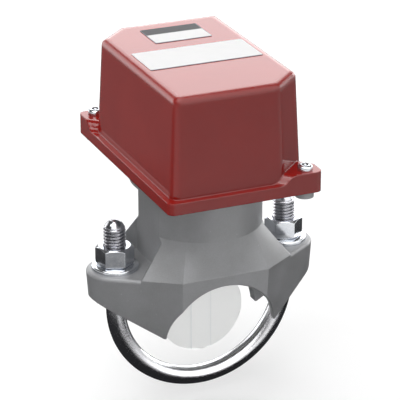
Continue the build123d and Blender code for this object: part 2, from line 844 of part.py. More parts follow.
# Base casting: plate, round hub over the saddle's neck, and bosses for the cover screws
chassis_screw_spots = [
    (enclosure_x + sign_x * chassis_screw_x, enclosure_y + sign_y * chassis_screw_y)
    for sign_x in (1, -1)
    for sign_y in (1, -1)
]
conduit_spots = [
    (enclosure_x - conduit_offset_x, enclosure_y - conduit_offset_y),
    (enclosure_x + conduit_offset_x, enclosure_y + conduit_offset_y),
]
ground_spot = (enclosure_x - ground_screw_x, enclosure_y + ground_screw_y)
with BuildPart() as base:
    with BuildSketch(Plane.XY.offset(base_bottom_height)):
        with Locations(enclosure):
            RectangleRounded(2 * base_half_width, 2 * base_half_length, base_corner_radius)
    extrude(amount=base_top_height - base_bottom_height)
    with BuildSketch(Plane.XY.offset(neck_top_height)):
        Circle(hub_radius)
    extrude(amount=base_top_height - neck_top_height)
    chamfer(base.faces().sort_by(Axis.Z)[0].edges(), hub_edge_chamfer)
    with BuildSketch(Plane.XY.offset(base_boss_bottom_height)):
        with Locations(*screw_spots):
            Circle(base_boss_radius)
    extrude(amount=base_boss_drop - base_boss_clearance)
    with BuildSketch(Plane.XY.offset(hub_floor_height)):
        Circle(hub_radius - hub_wall)
    extrude(amount=base_top_height - hub_floor_height, mode=Mode.SUBTRACT)
    with BuildSketch(Plane.XY.offset(neck_top_height)):
        Circle(neck_cavity_radius)
        with PolarLocations(base_screw_circle_radius, 4, start_angle=45):
            Circle(base_screw_radius + running_clearance)
    extrude(amount=hub_wall, mode=Mode.SUBTRACT)
    with BuildSketch(Plane.XY.offset(base_boss_bottom_height)):
        with Locations(*conduit_spots):
            Circle(conduit_hole_radius)
        with Locations(*screw_spots):
            Circle(cover_screw_radius + running_clearance)
        with Locations(*chassis_screw_spots, ground_spot):
            Circle(chassis_screw_radius + running_clearance)
    extrude(amount=base_top_height - base_boss_bottom_height, mode=Mode.SUBTRACT)
base.part.label = "base"
export_step(base.part, "parts/base.step")

base_screw = pan_screw(base_screw_radius, base_screw_length)
with BuildPart() as base_screws:
    with Locations((0, 0, hub_floor_height)):
        with PolarLocations(base_screw_circle_radius, 4, start_angle=45):
            add(base_screw)
base_screws.part.label = "base_screws"
export_step(base_screws.part, "parts/base_screws.step")

ground_screw = Pos(*ground_spot, base_top_height) * pan_screw(
    chassis_screw_radius, base_top_height - base_bottom_height, wide_head_ratio
)
ground_screw.label = "ground_screw"
export_step(ground_screw, "parts/ground_screw.step")

# Chassis: a folded sheet with an upright for the retard and a side web for the switches
switch_screw_heights = (
    switch_bottom_height + switch_hole_low,
    switch_bottom_height + switch_hole_low + switch_hole_pitch,
)
switch_screw_y = switch_face_y - switch_hole_depth
web_inner_x = barrier_thickness / 2 + switch_gap + switch_width + switch_gap
upright_front_y = retard_front_y - chassis_thickness
with BuildPart() as chassis:
    with BuildSketch(Plane.XY.offset(base_top_height)):
        with Locations(enclosure):
            RectangleRounded(2 * chassis_half_width, 2 * chassis_half_length, chassis_corner_radius)
        Circle(chassis_opening_radius, mode=Mode.SUBTRACT)
        with Locations(*chassis_screw_spots):
            Circle(chassis_screw_radius + running_clearance, mode=Mode.SUBTRACT)
    extrude(amount=chassis_thickness)
    with BuildSketch(Plane.XZ.offset(-upright_front_y)):
        with BuildLine():
            Polyline(
                (upright_half_width, upright_top_height - upright_corner),
                (upright_half_width, base_top_height),
                (-upright_half_width, base_top_height),
                (-upright_half_width, upright_top_height - upright_corner),
                (-upright_half_width + upright_corner, upright_top_height),
                (upright_half_width - upright_corner, upright_top_height),
                close=True,
            )
        make_face()
        with Locations((0, retard_height)):
            Circle(retard_nose_radius + running_clearance, mode=Mode.SUBTRACT)
    extrude(amount=-chassis_thickness)
    with BuildSketch(Plane.YZ.offset(web_inner_x)):
        with BuildLine():
            Polyline(
                (switch_face_y - switch_depth, base_top_height),
                (switch_face_y, base_top_height),
                (switch_face_y, switch_top_height - web_top_gap - web_corner),
                (switch_face_y - web_corner, switch_top_height - web_top_gap),
                (switch_face_y - switch_depth, switch_top_height - web_top_gap),
                close=True,
            )
        make_face()
        with Locations(*[(switch_screw_y, height) for height in switch_screw_heights]):
            Circle(switch_screw_radius + running_clearance, mode=Mode.SUBTRACT)
    extrude(amount=chassis_thickness)
chassis.part.label = "chassis"
export_step(chassis.part, "parts/chassis.step")

chassis_screw = pan_screw(chassis_screw_radius, chassis_top_height - base_bottom_height)
with BuildPart() as chassis_screws:
    with Locations((0, 0, chassis_top_height)):
        with Locations(*chassis_screw_spots):
            add(chassis_screw)
chassis_screws.part.label = "chassis_screws"
export_step(chassis_screws.part, "parts/chassis_screws.step")

# Snap-action switches, modelled with the outer side towards +X and then mirrored
switch_inner_x = barrier_thickness / 2 + switch_gap
switch_centre_x = switch_inner_x + switch_width / 2
switch_back_y = switch_face_y - switch_depth
lever_strip_y = lever_pivot_y + lever_curl_radius - lever_thickness
button_rest_gap = contact_gap / cos(radians(lever_rest_tilt))
button_tip_y = (
    lever_pivot_y
    + (lever_curl_radius - lever_thickness) / cos(radians(lever_rest_tilt))
    + (button_height - lever_pivot_height) * tan(radians(lever_rest_tilt))
    - button_rest_gap
)
terminal_heights = [switch_bottom_height + switch_height * part for part in (0.17, 0.5, 0.83)]
with BuildPart() as switch:
    with BuildSketch(Plane.XY.offset(switch_bottom_height)):
        with Locations((switch_centre_x, (switch_face_y + switch_back_y) / 2)):
            Rectangle(switch_width, switch_depth)
    extrude(amount=switch_height)
    chamfer(switch.edges().filter_by(Axis.X), switch_edge)
    with BuildSketch(Plane.XZ.offset(-switch_back_y)):
        with Locations(
            (switch_centre_x, (terminal_heights[0] + terminal_heights[1]) / 2),
            (switch_centre_x, (terminal_heights[1] + terminal_heights[2]) / 2),
        ):
            Rectangle(switch_width - 2, terminal_wall_thickness)
    extrude(amount=terminal_wall_height)
    with BuildSketch(Plane.XZ.offset(-switch_back_y)):
        with Locations(*[(switch_centre_x, height) for height in terminal_heights]):
            Circle(terminal_screw_radius + running_clearance)
    extrude(amount=-terminal_screw_length - 0.5, mode=Mode.SUBTRACT)
    with BuildSketch(Plane.XZ.offset(-switch_face_y)):
        with Locations((switch_centre_x, button_height)):
            Circle(button_radius + running_clearance)
    extrude(amount=button_guide_depth, mode=Mode.SUBTRACT)
    with BuildSketch(Plane.YZ.offset(switch_inner_x)):
        with Locations(*[(switch_screw_y, height) for height in switch_screw_heights]):
            Circle(switch_screw_radius + running_clearance)
    extrude(amount=switch_width, mode=Mode.SUBTRACT)
    with BuildSketch(Plane.YZ.offset(switch_centre_x + lever_width / 2 + lug_gap)):
        with Locations((lever_pivot_y, lever_pivot_height)):
            Circle(lever_curl_radius)
        with Locations(((lever_pivot_y + switch_face_y) / 2 - 0.2, lever_pivot_height)):
            Rectangle(lever_pivot_y - switch_face_y + 0.4, 2 * lever_curl_radius)
    extrude(amount=lug_thickness)
    with BuildSketch(Plane.YZ.offset(switch_centre_x - lever_width / 2 - lug_gap - lug_thickness)):
        with Locations((lever_pivot_y, lever_pivot_height)):
            Circle(lever_curl_radius)
        with Locations(((lever_pivot_y + switch_face_y) / 2 - 0.2, lever_pivot_height)):
            Rectangle(lever_pivot_y - switch_face_y + 0.4, 2 * lever_curl_radius)
    extrude(amount=lug_thickness)
    with BuildSketch(Plane.YZ.offset(switch_centre_x - lever_width / 2 - lug_gap - lug_thickness)):
        with Locations((lever_pivot_y, lever_pivot_height)):
            Circle(lever_pin_radius)
    extrude(amount=lever_width + 2 * lug_gap + 2 * lug_thickness)

# Lever strip with a curl round its pin, tilted away from the switch as it is without flow
with BuildPart() as lever:
    with BuildSketch(Plane.YZ.offset(-lever_width / 2)):
        Circle(lever_curl_radius)
        with Locations((lever_curl_radius - lever_thickness / 2, lever_length / 2)):
            Rectangle(lever_thickness, lever_length)
        Circle(lever_pin_radius + running_clearance, mode=Mode.SUBTRACT)
    extrude(amount=lever_width)
lever_placed = (
    Pos(switch_centre_x, lever_pivot_y, lever_pivot_height)
    * Rot(-lever_rest_tilt, 0, 0)
    * lever.part
)

with BuildPart() as button:
    with BuildSketch(Plane.XZ.offset(-button_tip_y)):
        with Locations((switch_centre_x, button_height)):
            Circle(button_radius)
    extrude(amount=button_tip_y - switch_face_y + button_guide_depth - button_travel - 0.5)
    chamfer(button.faces().sort_by(Axis.Y)[-1].edges(), 0.3 * button_radius)

for name, shape in (("switch", switch.part), ("switch_lever", lever_placed), ("switch_button", button.part)):
    for suffix, placed in (("right", shape), ("left", mirror(shape, about=Plane.YZ))):
        placed.label = f"{name}_{suffix}"
        export_step(placed, f"parts/{name}_{suffix}.step")

terminal_screw = Rot(90, 0, 0) * pan_screw(terminal_screw_radius, terminal_screw_length, wide_head_ratio)
with BuildPart() as terminal_screws:
    with Locations(*[
        (sign * switch_centre_x, switch_back_y, height)
        for sign in (1, -1)
        for height in terminal_heights
    ]):
        add(terminal_screw)
terminal_screws.part.label = "terminal_screws"
export_step(terminal_screws.part, "parts/terminal_screws.step")

switch_screw_length = switch_inner_x + switch_width + web_inner_x + chassis_thickness
switch_screw = Rot(0, -90, 0) * pan_screw(switch_screw_radius, switch_screw_length)
with BuildPart() as switch_screws:
    with Locations(*[
        (-switch_inner_x - switch_width, switch_screw_y, height) for height in switch_screw_heights
    ]):
        add(switch_screw)
switch_screws.part.label = "switch_screws"
export_step(switch_screws.part, "parts/switch_screws.step")

barrier_centre_y = (switch_face_y + switch_back_y + barrier_front_margin - barrier_back_margin) / 2
with BuildPart() as switch_barrier:
    with BuildSketch(Plane.YZ.offset(-barrier_thickness / 2)):
        with Locations((barrier_centre_y, switch_bottom_height + switch_height / 2)):
            Rectangle(switch_depth + barrier_front_margin + barrier_back_margin, switch_height)
        with Locations(*[(switch_screw_y, height) for height in switch_screw_heights]):
            Circle(switch_screw_radius + running_clearance, mode=Mode.SUBTRACT)
    extrude(amount=barrier_thickness)
switch_barrier.part.label = "switch_barrier"
export_step(switch_barrier.part, "parts/switch_barrier.step")

# Retard: an air cylinder whose plunger follows the stem slowly and carries the trip plate
retard_back_y = retard_front_y + retard_length
piston_front_y = retard_front_y + retard_wall + plunger_travel + piston_front_gap
with BuildPart() as retard_body:
    with BuildSketch(Plane.XZ.offset(-retard_front_y)):
        with Locations((0, retard_height)):
            Circle(retard_radius)
    extrude(amount=-retard_length)
    with BuildSketch(Plane.XY.offset(retard_height)):
        with Locations((0, dial_y)):
            Circle(dial_boss_radius)
    extrude(amount=dial_bottom_height - retard_height)
    with BuildSketch(Plane.XZ.offset(-retard_front_y)):
        with Locations((0, retard_height)):
            Circle(retard_nose_radius)
    extrude(amount=retard_nose_length)
    with BuildSketch(Plane.XZ.offset(-retard_front_y - retard_wall)):
        with Locations((0, retard_height)):
            Circle(retard_radius - retard_wall)
    extrude(amount=-retard_length, mode=Mode.SUBTRACT)
    with BuildSketch(Plane.XZ.offset(-retard_front_y + retard_nose_length)):
        with Locations((0, retard_height)):
            Circle(plunger_radius + running_clearance)
    extrude(amount=-retard_nose_length - retard_wall, mode=Mode.SUBTRACT)
    with BuildSketch(Plane.XY.offset(retard_height + retard_radius - retard_wall)):
        with Locations((0, dial_y)):
            Circle(dial_spindle_radius + running_clearance)
    extrude(amount=dial_bottom_height - retard_height, mode=Mode.SUBTRACT)
retard_body.part.label = "retard_body"
export_step(retard_body.part, "parts/retard_body.step")

with BuildPart() as retard_cap:
    with BuildSketch(Plane.XZ.offset(-retard_back_y)):
        with Locations((0, retard_height)):
            Circle(retard_radius)
    extrude(amount=-retard_cap_thickness)
    chamfer(retard_cap.faces().sort_by(Axis.Y)[-1].edges(), 0.3 * retard_cap_thickness)
    with BuildSketch(Plane.XZ.offset(-retard_back_y)):
        with Locations((0, retard_height)):
            Circle(retard_radius - retard_wall - running_clearance)
    extrude(amount=retard_wall)
retard_cap.part.label = "retard_cap"
export_step(retard_cap.part, "parts/retard_cap.step")

retard_nut = (
    Pos(0, upright_front_y, retard_height)
    * Rot(90, 0, 0)
    * hex_nut(retard_nut_flats, retard_nut_height, retard_nose_radius + running_clearance)
)
retard_nut.label = "retard_nut"
export_step(retard_nut, "parts/retard_nut.step")

# Plunger: domed head, rod, shoulder behind the trip plate, and piston
trip_plate_back_y = trip_plate_y + trip_plate_thickness
piston_radius = retard_radius - retard_wall - running_clearance
with BuildPart() as retard_plunger:
    with BuildSketch(Plane.YZ):
        with BuildLine():
            Polyline(
                (plunger_tip_y, retard_height),
                (plunger_tip_y, retard_height + plunger_head_radius / 2),
                ((plunger_tip_y + trip_plate_y) / 2, retard_height + plunger_head_radius),
                (trip_plate_y, retard_height + plunger_head_radius),
                (trip_plate_y, retard_height + plunger_radius),
                (trip_plate_back_y, retard_height + plunger_radius),
                (trip_plate_back_y, retard_height + plunger_head_radius),
                (trip_plate_back_y + plunger_collar_length, retard_height + plunger_head_radius),
                (trip_plate_back_y + plunger_collar_length, retard_height + plunger_radius),
                (piston_front_y, retard_height + plunger_radius),
                (piston_front_y, retard_height + piston_radius),
                (piston_front_y + piston_length, retard_height + piston_radius),
                (piston_front_y + piston_length, retard_height),
                close=True,
            )
        make_face()
    revolve(axis=Axis((0, 0, retard_height), (0, 1, 0)))
retard_plunger.part.label = "retard_plunger"
export_step(retard_plunger.part, "parts/retard_plunger.step")

# Trip plate: a folded sheet from the plunger over the stem to the tips of both levers
lever_tip_y = (
    lever_pivot_y
    + lever_curl_radius * cos(radians(lever_rest_tilt))
    + lever_length * sin(radians(lever_rest_tilt))
)
lever_tip_height = lever_pivot_height + (
    lever_length * cos(radians(lever_rest_tilt)) - lever_curl_radius * sin(radians(lever_rest_tilt))
)
lip_back_y = lever_tip_y + contact_gap + trip_plate_thickness
trip_lip_bottom = lever_tip_height - trip_lip_overlap
trip_plate_top = lever_tip_height + trip_bridge_rise
trip_plate_bottom = retard_height - trip_plate_drop
with BuildPart() as trip_plate:
    with BuildSketch(Plane.XZ.offset(-trip_plate_y)):
        with Locations((0, (trip_plate_bottom + trip_plate_top) / 2)):
            Rectangle(trip_plate_width, trip_plate_top - trip_plate_bottom)
        with Locations((0, retard_height)):
            Circle(plunger_radius + running_clearance, mode=Mode.SUBTRACT)
    extrude(amount=-trip_plate_thickness)
    with BuildSketch(Plane.XY.offset(trip_plate_top - trip_plate_thickness)):
        with BuildLine():
            Polyline(
                (trip_plate_width / 2, trip_plate_back_y),
                (trip_plate_width / 2, trip_plate_y - trip_bridge_neck),
                (trip_lip_width / 2, lip_back_y),
                (trip_lip_width / 2, lip_back_y - trip_plate_thickness),
                (-trip_lip_width / 2, lip_back_y - trip_plate_thickness),
                (-trip_lip_width / 2, lip_back_y),
                (-trip_plate_width / 2, trip_plate_y - trip_bridge_neck),
                (-trip_plate_width / 2, trip_plate_back_y),
                close=True,
            )
        make_face()
    extrude(amount=trip_plate_thickness)
    with BuildSketch(Plane.XZ.offset(trip_plate_thickness - lip_back_y)):
        with Locations((0, (trip_lip_bottom + trip_plate_top) / 2)):
            Rectangle(trip_lip_width, trip_plate_top - trip_lip_bottom)
    extrude(amount=-trip_plate_thickness)
trip_plate.part.label = "trip_plate"
export_step(trip_plate.part, "parts/trip_plate.step")

with BuildPart() as retard_dial:
    with BuildSketch(Plane.XY.offset(dial_bottom_height)):
        with Locations((0, dial_y)):
            Circle(dial_radius)
            with PolarLocations(dial_radius + dial_grip_radius / 2, dial_grip_count, start_angle=15):
                Circle(dial_grip_radius, mode=Mode.SUBTRACT)
    extrude(amount=dial_height)
    with BuildSketch(Plane.XY.offset(dial_bottom_height + dial_height)):
        with Locations((0, dial_y + dial_pointer_length / 2)):
            Rectangle(dial_pointer_width, dial_pointer_length)
    extrude(amount=dial_pointer_height)
    with BuildSketch(Plane.XY.offset(dial_bottom_height)):
        with Locations((0, dial_y)):
            Circle(dial_spindle_radius)
    extrude(amount=-dial_spindle_length)
retard_dial.part.label = "retard_dial"
export_step(retard_dial.part, "parts/retard_dial.step")
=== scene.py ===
import json
import math

import bmesh
import bpy
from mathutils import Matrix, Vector


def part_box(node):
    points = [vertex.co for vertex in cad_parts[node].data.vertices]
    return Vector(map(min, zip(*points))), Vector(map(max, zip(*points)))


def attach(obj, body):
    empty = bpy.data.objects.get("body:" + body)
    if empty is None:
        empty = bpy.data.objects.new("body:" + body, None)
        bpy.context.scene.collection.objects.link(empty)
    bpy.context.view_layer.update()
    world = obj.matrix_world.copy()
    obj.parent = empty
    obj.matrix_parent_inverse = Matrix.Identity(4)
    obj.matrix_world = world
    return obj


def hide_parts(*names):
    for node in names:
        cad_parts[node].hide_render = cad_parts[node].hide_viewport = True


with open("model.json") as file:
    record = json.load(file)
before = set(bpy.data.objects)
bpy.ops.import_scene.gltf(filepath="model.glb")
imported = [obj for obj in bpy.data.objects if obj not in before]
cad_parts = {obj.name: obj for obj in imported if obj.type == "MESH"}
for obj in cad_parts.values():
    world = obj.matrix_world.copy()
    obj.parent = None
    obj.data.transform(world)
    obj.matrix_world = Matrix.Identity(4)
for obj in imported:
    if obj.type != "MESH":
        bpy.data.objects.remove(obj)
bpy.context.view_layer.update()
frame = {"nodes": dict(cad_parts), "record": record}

# Water flow detector: a red enclosure on a grey saddle that a U-bolt clamps to a pipe.
# Metres. The origin is on the pipe's axis under the stem, +X across the pipe, +Z up the stem.

nodes = frame["nodes"]


# Sizes of the pieces that are modelled here. A share has no unit.

# U-bolt
LEG_X = 0.05215                     # from the middle to the axis of a leg
ROD_RADIUS = 0.005525
ROD_OVERLAP = 0.001                 # how far the rod runs up into a threaded end
BEND_HEIGHT = 0.0141                # where the legs end and the bend starts
PITCH = 0.0254 / 13                 # 13 threads to the inch
THREAD_RADIUS = 0.00635
THREAD_ROOT = 0.00516
THREAD_START = 0.024
THREAD_TURNS = 22
RIDGE_LEAD = 0.001                  # how far below the thread's start the ridge starts
RIDGE_SUNK = 0.0002                 # how deep the foot of the ridge lies in the core
RIDGE_FOOT_SHARE = 0.86             # width of the ridge's foot over the pitch
RIDGE_CREST_SHARE = 0.16            # width of its crest over its foot
DOME_FOOT = 0.0644
DOME_FOOT_RADIUS = 0.0056
STUD_TOP = 0.06815

# Washers and nuts
EAR_TOP = 0.03925
WASHER_TOP = 0.04175
WASHER_BORE = 0.00715
WASHER_RADIUS = 0.0135
NUT_TOP = 0.05285
NUT_FLATS = 0.01905
NUT_TURN = 40.7                     # degrees
NUT_FACE_SHARE = 0.47               # radius of the face inside the chamfer over the flats
NUT_CHAMFER_SLOPE = 0.6             # fall of the chamfer over its width
NUT_BORE = 0.0064
NUT_COUNTERSINK = 0.0071

# Cover screws
HEAD_RADIUS = 0.00425
HEAD_HEIGHT = 0.0033
SHANK_RADIUS = 0.0024
SHANK_LENGTH = 0.0145
SOCKET_RADIUS = 0.00225
SOCKET_DEPTH = 0.0020
SOCKET_TURN = 0.4                   # radians
# Reach of the shade painted into the screws' sockets
SOCKET_SHADE_RADIUS = 0.0023
SOCKET_SHADE_TOP = 0.0030           # over the seat of the head
PIN_RADIUS = 0.00085

# Crossed recesses of the inner screws
BLADE_SHARE = 0.22                  # thickness of the driver's blade over its width
BLADE_TURN = 0.5                    # radians

# Places where a finish changes
LIP_TOP = 0.012                     # over the lowest point of the cover
BOX_FOOT = 0.018                    # over the lowest point of the cover
LIP_EDGE = 0.0010
BOX_EDGE = 0.0050
HALF_BAND = 0.00615                 # half the width of the paddle's thicker band
STEP_SHADE_LINE = 0.0003                  # half the width of the painted shade line along a step of the band
LABEL_FRONT_LINE = 0.0006
LABEL_SIDE_LINE = 0.0004
LABEL_HEADER_SHARE = 0.41           # depth of the dark header over the label's


# Camera at the photograph's place

camera_data = bpy.data.cameras.new("camera")
camera_data.lens = 200.98
camera_data.sensor_width = 36.0
camera_data.clip_start = 0.05
camera_data.clip_end = 20.0
camera = bpy.data.objects.new("camera", camera_data)
camera.location = (-0.45796, -1.07005, 0.55918)
camera.rotation_euler = (math.radians(90 - 22.739), math.radians(0.042), math.radians(-23.181))
bpy.context.scene.collection.objects.link(camera)
bpy.context.scene.camera = camera
bpy.context.scene.view_settings.view_transform = "Standard"


# Tools for materials

NOISE_LOW, NOISE_HIGH = 0.3, 0.7    # most of a noise lies between these


class Value:
    """One output of a material's nodes, so that shader maths reads as a sum."""

    def __init__(self, material, socket):
        self.material = material
        self.socket = socket

    def maths(self, operation, first, second=0.0):
        return node(self.material, "ShaderNodeMath", {"operation": operation},
                    {0: first, 1: second})

    def __add__(self, other):
        return self.maths("ADD", self, other)

    __radd__ = __add__

    def __sub__(self, other):
        return self.maths("SUBTRACT", self, other)

    def __rsub__(self, other):
        return self.maths("SUBTRACT", other, self)

    def __mul__(self, other):
        return self.maths("MULTIPLY", self, other)

    __rmul__ = __mul__

    def above(self, limit):
        """1 where the value is over the limit, and 0 elsewhere."""
        return self.maths("GREATER_THAN", self, limit)


def node(material, kind, settings, sockets, output=0):
    """Adds a node, sets it, then gives its sockets values or links."""
    tree = material.node_tree
    made = tree.nodes.new(kind)
    for name, setting in settings.items():
        setattr(made, name, setting)
    for name, value in sockets.items():
        if isinstance(value, Value):
            tree.links.new(value.socket, made.inputs[name])
        else:
            made.inputs[name].default_value = value
    return Value(material, made.outputs[output])


def new_material(name, colour, roughness, metallic=0.0, **shader):
    """A material with a Principled shader of those values."""
    material = bpy.data.materials.new(name)
    material.use_nodes = True
    principled = material.node_tree.nodes["Principled BSDF"]
    principled.inputs["Base Color"].default_value = (*colour, 1.0)
    principled.inputs["Roughness"].default_value = roughness
    principled.inputs["Metallic"].default_value = metallic
    for label, value in shader.items():
        principled.inputs[label.replace("_", " ")].default_value = value
    return material


def feed(material, name, value):
    """Links a value to the Principled shader of a material."""
    principled = material.node_tree.nodes["Principled BSDF"]
    material.node_tree.links.new(value.socket, principled.inputs[name])


def place(material):
    """Where a point is on the object, in metres."""
    return node(material, "ShaderNodeTexCoord", {}, {}, "Object")


def along(material, where, axis):
    """How far a point is along one axis."""
    return node(material, "ShaderNodeSeparateXYZ", {}, {0: where}, axis)


def squeezed(material, where, factors):
    """A place with each axis multiplied, which squeezes a pattern along it."""
    return node(material, "ShaderNodeMapping", {}, {"Vector": where, "Scale": factors})


def distance(material, first, second):
    """How far two points are from each other."""
    return node(material, "ShaderNodeVectorMath", {"operation": "DISTANCE"},
                {0: first, 1: second}, 1)


def noise(material, where, size, detail=2.0, roughness=0.5):
    """Noise whose grains are about size metres across."""
    return node(material, "ShaderNodeTexNoise", {},
                {"Vector": where, "Scale": 1.0 / size, "Detail": detail, "Roughness": roughness})


def spread(material, value, low, high, to_low=0.0, to_high=1.0):
    """Carries the range low to high over to to_low to to_high."""
    return node(material, "ShaderNodeMapRange", {},
                {0: value, 1: low, 2: high, 3: to_low, 4: to_high})


def carried(material, grain, low=0.0, high=1.0):
    """Carries most of a noise over to low to high."""
    return spread(material, grain, NOISE_LOW, NOISE_HIGH, low, high)


def mix(material, factor, *colours):
    """Mixes two colours, each of which is three numbers or a value."""
    first, second = (colour if isinstance(colour, Value) else (*colour, 1.0)
                     for colour in colours)
    return node(material, "ShaderNodeMix", {"data_type": "RGBA"},
                {0: factor, 6: first, 7: second}, 2)


def choose(material, factor, off, on):
    """The number off where the factor is 0, and on where it is 1."""
    return node(material, "ShaderNodeMix", {"data_type": "FLOAT"}, {0: factor, 2: off, 3: on})


def rounded(material, edge):
    """Normals of a surface whose edges are rounded by edge metres."""
    return node(material, "ShaderNodeBevel", {"samples": 8}, {"Radius": edge})


def bump(material, height, depth, edge):
    """Feeds the normal with a relief of depth metres, over edges rounded by edge metres."""
    relief = {"Strength": 1.0, "Distance": depth, "Height": height}
    if edge:
        relief["Normal"] = edge if isinstance(edge, Value) else rounded(material, edge)
    feed(material, "Normal", node(material, "ShaderNodeBump", {}, relief))


# Materials

def red_enamel(low):
    """Glossy red enamel, slightly wavy, on a cover whose box has softer edges than its lip."""
    material = new_material("red_enamel", (0.33, 0.0155, 0.012), 0.07)
    where = place(material)
    shade = carried(material, noise(material, where, 0.03, detail=3.0))
    feed(material, "Base Color",
         mix(material, shade, (0.315, 0.014, 0.011), (0.345, 0.017, 0.013)))
    gloss = noise(material, where, 0.012, detail=3.0)
    feed(material, "Roughness", carried(material, gloss, 0.06, 0.09))
    box = spread(material, along(material, where, "Z"), low.z + LIP_TOP, low.z + BOX_FOOT)
    edges = node(material, "ShaderNodeMix", {"data_type": "VECTOR"},
                 {0: box, 4: rounded(material, LIP_EDGE), 5: rounded(material, BOX_EDGE)}, 1)
    bump(material, noise(material, where, 0.005, detail=1.0), 0.00002, edges)
    return material


def cast_grey():
    """Grey casting, painted thin over a fine sand grain, with a few bright specks."""
    material = new_material("cast_grey", (0.34, 0.345, 0.355), 0.42, 0.25, Specular_IOR_Level=0.8)
    where = place(material)
    grain = noise(material, where, 0.0006)
    cloud = noise(material, where, 0.011, detail=4.0, roughness=0.6)
    broad = noise(material, where, 0.035)
    tone = (spread(material, grain, 0.35, 0.65) * 0.25 + carried(material, cloud) * 0.45
            + spread(material, broad, 0.35, 0.65) * 0.3)
    paint = mix(material, tone, (0.310, 0.315, 0.318), (0.400, 0.403, 0.420))
    speck = node(material, "ShaderNodeTexVoronoi", {},
                 {"Vector": where, "Scale": 150.0, "Randomness": 1.0})
    bright = 1.0 - spread(material, speck, 0.03, 0.06)
    feed(material, "Base Color", mix(material, bright * 0.5, paint, (0.62, 0.63, 0.64)))
    feed(material, "Roughness", carried(material, cloud, 0.38, 0.48))
    sand = grain * 0.6 + noise(material, where, 0.0022, detail=1.0) * 0.4
    bump(material, sand, 0.00010, 0.0007)
    return material


def socket_shade_mask(material, where, seat, centres):
    """1 inside the sockets of upright screws whose heads sit at the height seat, where shade is
    painted.
    """
    level = squeezed(material, where, (1.0, 1.0, 0.0))
    near = [distance(material, level, (*centre, 0.0)) for centre in centres]
    beside = near[0].maths("MINIMUM", *near).above(SOCKET_SHADE_RADIUS)
    over = along(material, where, "Z").above(seat + SOCKET_SHADE_TOP)
    return (1.0 - beside) * (1.0 - over)


def bright_zinc(name, seat=0.0, centres=()):
    """Bright zinc on steel, with faint handling marks, and painted shade in the sockets of screws.
    """
    material = new_material(name, (0.69, 0.71, 0.74), 0.12, 1.0)
    where = place(material)
    smear = noise(material, where, 0.006, detail=4.0, roughness=0.65)
    fine = noise(material, where, 0.0008)
    feed(material, "Roughness", carried(material, smear * 0.7 + fine * 0.3, 0.10, 0.20))
    zinc = mix(material, spread(material, smear, 0.35, 0.65),
               (0.62, 0.64, 0.68), (0.75, 0.77, 0.80))
    if centres:
        # Painted shade: the sockets are coloured near black, where shade would fall inside them.
        dark = socket_shade_mask(material, where, seat, centres)
        zinc = mix(material, dark, zinc, (0.03, 0.03, 0.032))
    feed(material, "Base Color", zinc)
    bump(material, fine, 0.000008, 0.0004)
    return material


def drawn_rod():
    """Zinc-plated rod with fine pits below the threads, rougher on the threads, and darker on the
    threads and dome as painted shade.
    """
    material = new_material("drawn_rod", (0.78, 0.78, 0.80), 0.2, 1.0)
    where = place(material)
    smear = noise(material, where, 0.005, detail=4.0, roughness=0.6)
    below_thread = 1.0 - along(material, where, "Z").above(THREAD_START)
    pits = noise(material, where, 0.0009, detail=5.0, roughness=0.75) * below_thread
    wear = spread(material, smear * 0.6 + pits * 0.4, 0.25, 0.60, 0.0, 0.14)
    feed(material, "Roughness", wear + 0.10 + (1.0 - below_thread) * 0.08)
    skin = mix(material, spread(material, pits, 0.35, 0.65),
               (0.70, 0.70, 0.73), (0.88, 0.88, 0.90))
    # Painted shade: the threads and the dome take a darker colour for the shade in the thread's
    # roots.
    feed(material, "Base Color", mix(material, below_thread, (0.50, 0.50, 0.53), skin))
    bump(material, pits, 0.00009, 0.0002)
    return material


def rolled_sheet():
    """Rolled and yellow-passivated sheet, with the lines of the rolls."""
    material = new_material("rolled_sheet", (0.60, 0.60, 0.55), 0.34, 1.0)
    where = place(material)
    lines = noise(material, squeezed(material, where, (1.0, 1.0, 14.0)), 0.006, detail=3.0)
    stain = noise(material, where, 0.015, detail=3.0)
    feed(material, "Roughness", carried(material, lines, 0.26, 0.42))
    feed(material, "Base Color", mix(material, carried(material, stain * 0.6 + lines * 0.4),
                                     (0.60, 0.60, 0.58), (0.72, 0.70, 0.62)))
    bump(material, lines, 0.00001, 0.0003)
    return material


def turned_brass():
    """Brass turned about an upright axis, with rings of tool marks."""
    material = new_material("turned_brass", (0.62, 0.44, 0.18), 0.28, 1.0)
    rings = noise(material, squeezed(material, place(material), (1.0, 1.0, 20.0)), 0.008)
    feed(material, "Roughness", carried(material, rings, 0.22, 0.36))
    feed(material, "Base Color", mix(material, rings, (0.56, 0.39, 0.15), (0.68, 0.49, 0.21)))
    bump(material, rings, 0.00002, 0.0002)
    return material


def turned_aluminium():
    """Aluminium turned about the Y axis, with rings of fine tool marks."""
    material = new_material("turned_aluminium", (0.74, 0.74, 0.75), 0.26, 1.0)
    rings = noise(material, squeezed(material, place(material), (1.0, 30.0, 1.0)), 0.010)
    feed(material, "Roughness", carried(material, rings, 0.18, 0.36))
    feed(material, "Base Color", mix(material, rings, (0.68, 0.68, 0.70), (0.80, 0.80, 0.81)))
    bump(material, rings, 0.00001, 0.0003)
    return material


def black_rubber():
    """Black rubber with a dusty grain."""
    material = new_material("black_rubber", (0.02, 0.02, 0.02), 0.7)
    grain = noise(material, place(material), 0.0008, detail=3.0)
    feed(material, "Base Color",
         mix(material, grain, (0.014, 0.014, 0.014), (0.035, 0.035, 0.034)))
    feed(material, "Roughness", carried(material, grain, 0.6, 0.8))
    bump(material, grain, 0.00005, 0.0004)
    return material


def moulded(name, low, high, roughness):
    """Moulded plastic with a fine spark-eroded texture."""
    material = new_material(name, low, roughness)
    where = place(material)
    grain = noise(material, where, 0.0006)
    feed(material, "Base Color", mix(material, noise(material, where, 0.01), low, high))
    feed(material, "Roughness", carried(material, grain, roughness - 0.06, roughness + 0.08))
    bump(material, grain, 0.00003, 0.0004)
    return material


